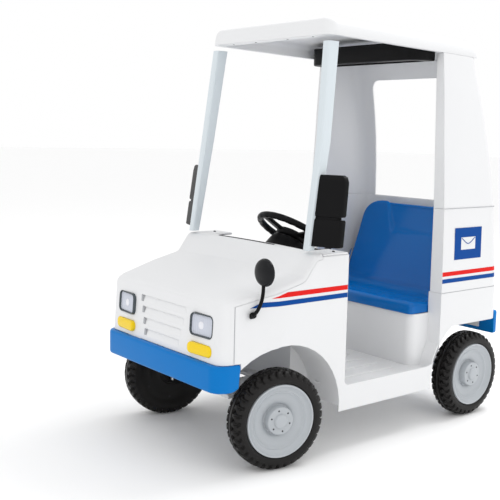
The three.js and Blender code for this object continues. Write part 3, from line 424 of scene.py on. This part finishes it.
CENTRE = (255, -374, 443)
facing = at(*CENTRE) @ turn("Z", -90)
dome = [
    (0.01, -6.4), (24, -6.4), (26.6, -6.4), (27.2, -7), (29.2, -7), (30, -6), (30.2, -3), (29.6, -1),
    (28.6, 0.2),
]
dome += ball_cap(28.6, 8.6, 0.3, 10)
piece("fender mirror head", *placed(turned(dome, 72), facing), GLOSS_BLACK, replaces=["fender_mirror"])
pane = turned([(0.01, -6.6), (15, -6.65), (26, -6.9), (26.2, -6.3)], 64)
piece("fender mirror glass", *placed(pane, facing), MIRROR, replaces=["fender_mirror_pane"])
STALK = [(246, -393, 352), (252, -386, 362), (256, -379, 381), (256.5, -375, 402), (255.5, -374, 424)]
piece("fender mirror stalk", *tube(STALK, 4, 16, 8), BLACK)
foot = placed(block((-7, -11, 0), (7, 11, 4.5), 5), at(243.6, -393, 352) @ turn("Z", 13) @ turn("Y", 90))
piece("fender mirror foot", *foot, BLACK)

# ---------------------------------------------------------------- lamps, laid out on the leaning nose
NOSE_SLOPE, LAMP_Z = 0.06, 322
NOSE_LEAN = math.degrees(math.atan(NOSE_SLOPE))
LAMP_SWEEP = 4.7


def on_nose(x, z, sweep=0):
    """Local X across, local Y out of the face backwards, local Z up."""
    spot = at(x, -459.7 + NOSE_SLOPE * (z - LAMP_Z), z)
    return spot @ turn("Z", math.copysign(sweep, x)) @ turn("X", -NOSE_LEAN)


def front_rings(steps, half_w, half_h, corner):
    rings = []
    for y, inset in steps:
        outline = rounded(half_w - inset, half_h - inset, max(corner - inset, 1), 8)
        rings.append([(a, y, b) for a, b in outline])
    return rings


for side, s in SIDES:
    lamp = on_nose(s * 156, LAMP_Z, LAMP_SWEEP)
    rim = [(9, 0), (-2.4, 0), (-3.6, 0.7), (-4, 1.9), (-3.4, 2.5), (-0.6, 3.4), (7.5, 4)]
    bezel = placed(loft(front_rings(rim, 38.7, 25, 12), caps=(False, False)), lamp)
    piece(f"headlight bezel {side}", *bezel, BEZEL, replaces=[f"headlight_bezel_{side}"])
    cols, rows = 65, 33
    glass = []
    for j in range(rows):
        row = []
        for i in range(cols):
            u, v = 2 * i / (cols - 1) - 1, 2 * j / (rows - 1) - 1
            crown = 1.6 * (1 - u * u) * (1 - v * v)
            ribs = 0.35 * math.cos(u * 11 * math.pi) * (1 - u**6)
            row.append((u * 34.9, 0.4 - crown - ribs, v * 21.2))
        glass.append(row)
    lens = placed(sheet(glass), lamp)
    piece(f"headlight lens {side}", *lens, LENS, replaces=[f"headlight_lens_{side}"])
    bulb = placed(turned(ball_cap(9, 1.4, 0, 6), 32), lamp @ at(s * -2, -0.9, 0) @ turn("Z", -90))
    piece(f"headlight centre {side}", *bulb, BULB)
    signal = [(5, 0), (-3.2, 0), (-4.6, 0.6), (-5.4, 1.8), (-5.9, 3.6), (-6.2, 6), (-6.3, 9)]
    dome_rings = front_rings(signal, 40.5, 12.5, 11)
    dome = placed(loft(dome_rings, caps=(False, True)), on_nose(s * 155, 270, LAMP_SWEEP))
    piece(f"turn signal dome {side}", *dome, AMBER, replaces=[f"turn_signal_{side}"], angle=50)

# Long rounded ribs on the cab floor.
for x in (-186, -134, -82, -30, 30, 82, 134, 186):
    piece(f"floor rib {x}", *block((x - 11.5, -149.5, 152.4), (x + 11.5, 102.5, 155.4), 9, 6), WHITE)

# Louvre end notches: a thin grey plate at the right-hand end of each slot, painted shade standing for the
# notch's shaded end wall.
for z, half in ((343, 92), (317, 85), (291, 78), (266, 71)):
    notch = block((-4.5, -0.3, -7), (4.5, 0.5, 7), 0.6)
    piece(f"louvre end {z}", *placed(notch, on_nose(3 - half, z)), SEAM_SHADE)


# ---------------------------------------------------------------- bumpers
def bumper_ring(z, inset, half=237, front=-476.5, r=35):
    end = -416 - max(0, (198 - z) * 2)
    right = [(-half + inset, end)] + arc(r - half, front + r, r - inset, 180, 270, 10)
    outside = right + [(-x, y) for x, y in right[::-1]]
    wall = 14
    right = [(-half + wall, end)] + arc(r - half, front + r, r - wall, 180, 270, 10)
    inside = right + [(-x, y) for x, y in right[::-1]]
    return [(x, y, z) for x, y in outside + inside[::-1]]


BUMPER = [(188, 4), (189.2, 1.8), (192, 0.4), (196, 0), (238, 0), (242.5, 0.6), (245, 2.4), (246, 5)]
piece("front bumper bar", *loft([bumper_ring(*e) for e in BUMPER]), BLUE, replaces=["front_bumper"], angle=50)
# Painted shadow: a near-black sheet between the nose and the bumper top stands for the shade in the joint.
painted_gap_shadow = sheet([[(x, y, 246.6) for x in (-203, 203)] for y in (-458, -461.2)])
piece("bumper top gap", *painted_gap_shadow, SHADOW)


def rear_bumper_ring(z, inset, r=12):
    left = [(242 - inset, 456.5)] + arc(242 - r, 476.5 - r, r - inset, 0, 90, 8)
    return [(x, y, z) for x, y in left + [(-x, y) for x, y in left[::-1]]]


BAR = [(205, 3), (206.5, 1), (210, 0), (262, 0), (265.5, 1), (267, 3)]
piece("rear bumper bar", *loft([rear_bumper_ring(*e) for e in BAR]), BLUE, replaces=["rear_bumper"], angle=50)

# ---------------------------------------------------------------- seat: one moulded bench and back
SEAT_LINE = [
    (145.2, 286.6, 212.4), (145, 298, 212.4), (145.6, 306, 212.4), (148.6, 311.5, 212.3),
    (154, 315, 212), (165, 315.5, 212), (190, 313.5, 212), (225, 309, 212), (260, 306.5, 212),
    (285, 306.8, 212), (303, 309.5, 212), (316, 317, 212), (325, 331, 212), (333, 350, 211),
    (341, 374, 210), (350, 401, 208.6), (359, 428, 207.4), (368, 455, 206.2), (376, 480, 205.4),
    (383, 503, 204.4), (386, 512, 202), (388.6, 520, 198), (391, 528, 191), (393.2, 535, 182),
    (395, 539.5, 173), (397, 543, 163), (399.5, 545, 150),
]


def between(a, b, t):
    return tuple(p + (q - p) * t for p, q in zip(a, b))


SEAT_ROWS = [
    between(a, b, t) for a, b in zip(SEAT_LINE, SEAT_LINE[1:]) for t in (0, 0.34, 0.67)
] + [SEAT_LINE[-1]]


def clamp(value):
    return min(1, max(0, value))


def seat_sink(x, t, y, z):
    """Depth below the moulding's outline: eased sides, dished bench and the recessed back panel."""
    edge = max(0, abs(t) - 0.93) / 0.07
    drop = 9 * (1 - math.sqrt(max(0, 1 - edge**2)))
    dish = 3.2 * (1 - t * t) if 165 < y < 320 else 0
    above = z - 461  # the recess starts at this height and widens upwards
    panel = clamp((71 + above * 0.54 - abs(x)) / 7) * clamp(above / 9)
    return drop + dish + 6 * panel


def seat_surface():
    cols = 121
    rings = []
    for k, (y, z, half) in enumerate(SEAT_ROWS):
        before, after = SEAT_ROWS[max(k - 1, 0)], SEAT_ROWS[min(k + 1, len(SEAT_ROWS) - 1)]
        along = Vector((0, after[0] - before[0], after[1] - before[1])).normalized()
        out = Vector((1, 0, 0)).cross(along)
        ring = []
        for i in range(cols):
            t = 2 * i / (cols - 1) - 1
            ring.append(tuple(Vector((t * half, y, z)) - out * seat_sink(t * half, t, y, z)))
        rings.append(ring)
    return sheet(rings)


bench = piece("seat bench", *seat_surface(), SEAT, replaces=["seat"], angle=60)
wall = bench.modifiers.new("wall", "SOLIDIFY")
wall.thickness = 6 * MM
wall.offset = -1 if bench.data.polygons[len(bench.data.polygons) // 3].normal.z > 0 else 1
SKIRT = [
    (151, 286.6), (150, 300), (153, 309), (190, 309), (260, 302), (303, 305), (320, 322), (335, 362),
    (346, 395), (339, 372), (326, 330), (310, 286.6),
]
for side, s in SIDES:
    skirt = loft([[(s * x, y, z) for y, z in SKIRT] for x in (206.5, 211.2)])
    piece(f"seat skirt {side}", *skirt, SEAT)

# ---------------------------------------------------------------- steering
TILT = 32.7
COLUMN = at(0, -69, 483.5) @ turn("X", -TILT)
upright = turn("Y", -90)  # a turned profile's X becomes Z
BOOT = [
    (7.5, -99.6), (56.6, -99.6), (57.7, -98), (57.9, -84), (57.9, -74), (57.2, -66), (56.2, -59),
    (55, -52), (53.4, -45), (51.4, -38), (49.4, -32), (47.4, -26.5), (46, -23.6), (44.4, -22.4),
    (7.5, -22.2),
]
boot = placed(turned(BOOT, 64), COLUMN @ upright)
piece("steering boot shell", *boot, BLACK, replaces=["steering_boot"])
bushing = placed(turned([(6.4, -278), (11.8, -278), (11.8, -246), (6.4, -246)], 40), COLUMN @ upright)
piece("column bushing sleeve", *bushing, GREY, replaces=["column_bushing"])

WHEEL_TURN = COLUMN @ turn("Z", STEER * 4 / 3)  # four degrees at the column for three at the knuckles
GRIP_RADIUS = 95
grip = []
for i in range(128):
    a = 2 * math.pi * i / 128
    ring = []
    for j in range(20):
        b = 2 * math.pi * j / 20
        finger = 0.7 * max(0, math.cos(a * 24)) * (1 if math.sin(b) < 0.3 else 0.2)
        r = 8.4 - finger
        reach = GRIP_RADIUS + r * math.cos(b)
        ring.append((reach * math.cos(a), reach * math.sin(a), r * math.sin(b)))
    grip.append(ring)
rim = loft(grip + [grip[0]], caps=(False, False))
spokes = []
for degrees in (0, 180, 270):
    rings = []
    for reach, half, lift in ((20, 15, -9), (40, 12, -8), (62, 10.5, -5.5), (80, 11, -3), (91, 14, -1)):
        rings.append([(reach, a, lift + b) for a, b in rounded(half, 4.4, 3.2, 4)])
    spokes.append(placed(loft(rings), turn("Z", degrees)))
HUB = [
    (6.6, -19.6), (38, -19.6), (40, -18.6), (43.6, -12), (43.6, -8), (42.6, -4), (40, -1.8), (30, -0.8),
    (18.6, -1.4), (18.1, -3), (18.1, -7.6), (6.6, -7.8),
]
moulding = placed(merged(rim, placed(turned(HUB, 64), upright), *spokes), WHEEL_TURN)
piece("steering wheel moulding", *moulding, BLACK, "steering", ["steering_wheel"], angle=45)
HORN = [
    (0.01, -6.8), (17.2, -6.8), (17.3, -1.4), (16.4, 0.2), (13.5, 1.6), (9, 2.7), (4, 3.2), (0.01, 3.3),
]
horn = placed(turned(HORN, 48), WHEEL_TURN @ upright)
piece("horn cap", *horn, GREY, "horn", ["horn_button"])
moulded("steering_column", STEEL, "steering")
for side, s in SIDES:
    moulded(f"steering_knuckle_{side}", STEEL, f"{side}_knuckle")

# ---------------------------------------------------------------- wheels
LUGS, LUG_DEPTH, LUG_ROOT, LUG_START, TREAD_MIDDLE = 36, 7, 98.2, 8, 51
TREAD = [
    (6.2, 23), (24, 22.4), (26, 23), (28, 28), (34, 31.5), (50, 32),
    (52, 31.2), (58, 31.2), (60, 32), (72, 32), (76, 30), (84, 25.5),
    (92, 23.6), (98, 23.6), (102.5, 24.6), (105, 26.2), (107.6, 28.6), (109.6, 31.5),
    (110.8, 34.5), (111.4, 38), (111.7, 42), (111.8, 43.4), (108.8, 44), (108.8, 46.6),
    (111.9, 47.2), (112, 51), (111.9, 54.8), (108.8, 55.4), (108.8, 58), (111.8, 58.6),
    (111.7, 60), (111.4, 64), (110.8, 67.5), (109.6, 70.5), (107.6, 73.4), (105, 75.8),
    (102.5, 77.4), (98, 79), (92, 80), (86, 79.4), (84, 78.4), (83.2, 76),
    (82.6, 58), (60, 55.2), (22, 54.4), (6.2, 54.4),
]


def lug_radius(r, x, a):
    """S-shaped notches across both shoulders."""
    if r < LUG_ROOT or abs(x - TREAD_MIDDLE) < LUG_START:
        return r
    along = abs(x - TREAD_MIDDLE) - LUG_START
    stagger = 0 if x > TREAD_MIDDLE else 0.5
    phase = (a * LUGS / (2 * math.pi) + 0.28 * math.sin(along / 20 * 2 * math.pi) + stagger) % 1
    ramp = clamp((0.23 - abs(phase - 0.5)) / 0.06)
    return r - LUG_DEPTH * ramp * min(1, (r - LUG_ROOT) / 5)


COVER = [
    (81.6, 57.5), (81.7, 78.6), (81.2, 79.9), (79.8, 80.6), (78.2, 80.3), (77.2, 79.2),
    (75.8, 77), (71, 72.8), (67.6, 70.9), (66.4, 70.6), (65.4, 71), (64.4, 71.6),
    (63.2, 71.2), (61, 69), (58.6, 67.2), (53, 65.9), (46, 64.4), (40, 63),
    (37, 61.6), (35, 59.4), (33.4, 58.4), (32, 59), (31.3, 62), (31.1, 75.6),
    (30.4, 76.9), (29, 77.5), (17.6, 77.5), (16.8, 78), (16.3, 80.4), (15.2, 82.2),
    (12.4, 83.4), (8, 84), (4, 84.2), (0.01, 84.25),
]
tyre_shape = turned(TREAD, LUGS * 14, lug_radius)
cover_shape = turned(COVER, 120)
# Painted shade: small near-black discs on the wheel covers stand for their holes.
hole_shape = turned([(0.01, 77.62), (1.5, 77.62), (1.9, 77.72), (2.1, 77.5)], 18)
holes_shape = merged(*[placed(hole_shape, turn("X", 60 * k + 12) @ at(0, 0, 23.6)) for k in range(6)])
inner_hole = turned([(0.01, 31.9), (3.4, 31.9), (3.6, 32.2)], 16)
inner_holes = merged(*[placed(inner_hole, turn("X", 60 * k) @ at(0, 0, 66)) for k in range(6)])
nut_shape = turned([(5.9, 54.8), (9.4, 54.8), (10, 55.6), (10, 59.6), (9.2, 60.4), (5.9, 60.4)], 32)
CORNERS = [
    (f"front_{side}", f"{side}_knuckle", at(s * 184, FRONT_AXLE, AXLE_HEIGHT) @ turn("Z", STEER), s)
    for side, s in SIDES
] + [(f"rear_{side}", "chassis", at(s * 183, REAR_AXLE, AXLE_HEIGHT), s) for side, s in SIDES]
for place, carrier, hub_at, s in CORNERS:
    body = place + "_wheel"
    spot = hub_at @ (Matrix.Identity(4) if s > 0 else turn("Z", 180))
    piece(f"tyre {place}", *placed(tyre_shape, spot), TYRE, body, [f"wheel_{place}"], angle=30)
    piece(f"cover {place}", *placed(cover_shape, spot), GREY, body, [f"wheel_cover_{place}"], angle=42)
    piece(f"cover holes {place}", *placed(holes_shape, spot), SHADOW, body)
    piece(f"disc holes {place}", *placed(inner_holes, spot), SHADOW, body)
    piece(f"push nut {place}", *placed(nut_shape, spot), STEEL, carrier, [f"wheel_nut_{place}"])

# ---------------------------------------------------------------- drive, battery, pedal and switches
moulded("gearbox_housing", BLACK)
moulded("drive_motor", STEEL)
moulded("drive_coupler", GREY, "rear_right_wheel")
piece("battery case", *block((-54.8, 160.2, 152.6), (54.8, 209.8, 225.8), 3), CASE, replaces=["battery"])
for x in (-38, 38):
    piece(f"battery terminal {x}", *block((x - 5, 180, 225.6), (x + 5, 190, 229), 1.5), STEEL)
moulded("battery_strap", WEB)
moulded("accelerator_pedal", BLACK, "pedal")
spring = moulded("pedal_spring", STEEL, angle=60)
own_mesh(spring)
moulded("pedal_switch", BLACK)
moulded("direction_switch", GREY, "direction_rocker")
moulded("charge_socket", BLACK)


# ---------------------------------------------------------------- stripes, painted seam shade and patch
HALF_WIDTH, NOSE_START, WALL_JOINT, WALL_TOP_JOINT, REAR_RADIUS = 255, -330, 341, 557, 30


def body_side(y, z):
    """Half-width of the outer wall."""
    if y < NOSE_START:
        return HALF_WIDTH - (NOSE_START - y) * 0.23
    return HALF_WIDTH if z < WALL_JOINT or y < 0 else HALF_WIDTH - (z - WALL_JOINT) * 0.01376


def rear_outline(z, slope):
    """Half-width, rear face and left corner of the rear walls at one height."""
    half, rear = body_side(300, z), 452.5 - (z - WALL_JOINT) * slope
    return half, rear, arc(half - REAR_RADIUS, rear - REAR_RADIUS, REAR_RADIUS, 0, 90, 10)


def ribbon(name, edge_low, edge_high, mat, lift=0.35):
    """A thin strip between two lines of points on the wall: printed stripes, and the painted shade of joint
    lines.
    """
    edges = [
        [(x + math.copysign(lift, x), y + (lift if y > 430 else 0), z) for x, y, z in edge]
        for edge in (edge_low, edge_high)
    ]
    piece(name, *sheet(edges), mat)


def badge(name, side, across, heights, lift, mat):
    """A flat printed rectangle on a rear side wall."""
    rows = [[(side * (body_side(300, z) + lift), y, z) for y in across] for z in heights]
    piece(name, *sheet(rows), mat)


# Each stripe: its name, lower and upper edge, how its front end tapers over three points, and its colour.
STRIPES = [
    ("blue", 366.2, 377, [(-396, 366.4), (-371, 377), (NOSE_START, 377)], NAVY),
    ("red", 384, 395, [(-346, 384.2), (NOSE_START, 388.3), (-305, 395)], RED),
]
for side, s in SIDES:
    for label, low, high, taper, mat in STRIPES:
        upper = taper + [(DOOR_FRONT, high)]
        edges = [[(y, low) for y, _ in upper], upper]
        on_wall = [[(s * body_side(y, z), y, z) for y, z in edge] for edge in edges]
        ribbon(f"{label} stripe {side}", *on_wall, mat)
    for label, low, high, _, mat in STRIPES:
        lines = []
        for z in (low, high):
            half, rear, corner = rear_outline(z, 0.0688)
            straight = [(s * half, DOOR_REAR, z), (s * half, rear - REAR_RADIUS - 1, z)]
            lines.append(straight + [(s * x, y, z) for x, y in corner] + [(0, rear, z)])
        ribbon(f"rear {label} stripe {side}", *lines, mat)
    badge(f"mail patch {side}", s, (257, 367), (424, 506), 0.4, NAVY)
    badge(f"envelope {side}", s, (283, 341), (449, 481), 0.7, WHITE)
    fold = [(s * (body_side(300, wall_z) + 0.8), y, z) for y, z, wall_z in
            ((285, 479, 479), (312, 464, 466), (339, 479, 479))]
    piece(f"envelope flap {side}", *tube(fold, 1.1, 8, 6), NAVY)


def cowl_top(x, y):
    return 471 + 5 * (1 - (x / HALF_WIDTH) ** 2) - max(0, -204 - y) * 0.12


# Painted shade: a near-black sheet just above the cowl stands for the vent slot.
slot = [[(x, y, cowl_top(x, y) + 0.5) for x in range(-126, 96, 10)] for y in (-215, -208)]
piece("cowl vent shadow", *sheet(slot), SHADOW)

# Joint lines between the mouldings, painted as thin grey strips of shade: nose to fenders, and the three rear
# mouldings.
for side, s in SIDES:
    seam = [[(s * body_side(y, 300), y, z) for z in (250, 371)] for y in (-430.6, -429.2)]
    ribbon(f"nose seam {side}", *seam, SEAM_SHADE)
for z in (WALL_JOINT, WALL_TOP_JOINT):
    half, rear, corner = rear_outline(z, 0.0718)
    left = [(half, DOOR_REAR), (half, rear - REAR_RADIUS - 1), *corner]
    line = left + [(-x, y) for x, y in left[::-1]]
    low, high = [[(x, y, z + dz) for x, y in line] for dz in (-0.7, 0.7)]
    ribbon(f"rear seam {z}", low, high, SEAM_SHADE)

# ---------------------------------------------------------------- floor, light and camera
bpy.ops.mesh.primitive_plane_add(size=60)
floor = bpy.context.active_object
floor.name = "studio floor"
PALE = material("studio floor", (0.97, 0.97, 0.97), 0.8, 0.03, edge=0.0, tint=0.004, gloss=0.1)
floor.data.materials.append(PALE)

bpy.context.scene.view_settings.view_transform = "Standard"
world = bpy.data.worlds.new("studio")
bpy.context.scene.world = world
world.use_nodes = True
world.node_tree.nodes["Background"].inputs["Color"].default_value = (1, 1, 1, 1)
world.node_tree.nodes["Background"].inputs["Strength"].default_value = 1.0


def softbox(name, place, aim, size, power):
    data = bpy.data.lights.new(name, "AREA")
    data.shape = "RECTANGLE"
    data.size, data.size_y = size
    data.energy = power
    lamp = bpy.data.objects.new(name, data)
    lamp.location = place
    lamp.rotation_euler = (Vector(aim) - Vector(place)).to_track_quat("-Z", "Y").to_euler()
    bpy.context.scene.collection.objects.link(lamp)


softbox("key softbox", (0.6, -2.6, 3.0), (0, -0.1, 0.4), (2.2, 2.2), 8)
softbox("side softbox", (3.2, 0.4, 2.2), (0, 0.1, 0.4), (1.6, 1.6), 7)
softbox("top softbox", (0.2, 1.7, 3.0), (0, -0.1, 0.4), (1.2, 1.2), 44)

AZIMUTH, ELEVATION, ROLL = math.radians(49.72), math.radians(6.65), math.radians(1.5)
level = math.cos(ELEVATION)
back = Vector((math.sin(AZIMUTH) * level, -math.cos(AZIMUTH) * level, math.sin(ELEVATION)))
right = Vector((0, 0, 1)).cross(back).normalized()
up = back.cross(right)
right_rolled = right * math.cos(ROLL) + up * math.sin(ROLL)
up_rolled = up * math.cos(ROLL) - right * math.sin(ROLL)
view = bpy.data.cameras.new("photo view")
SENSOR, FOCAL_PIXELS, FRAME_PIXELS = 36, 878.32, 500
view.sensor_width = SENSOR
view.lens = FOCAL_PIXELS / FRAME_PIXELS * SENSOR
view.shift_x = -0.0612
view.shift_y = -0.0262
view.clip_end = 100
camera = bpy.data.objects.new("photo view", view)
axes = Matrix((right_rolled, up_rolled, back)).transposed().to_4x4()
camera.matrix_world = Matrix.Translation((1.6705, -1.5293, 0.733)) @ axes
bpy.context.scene.collection.objects.link(camera)
bpy.context.scene.camera = camera
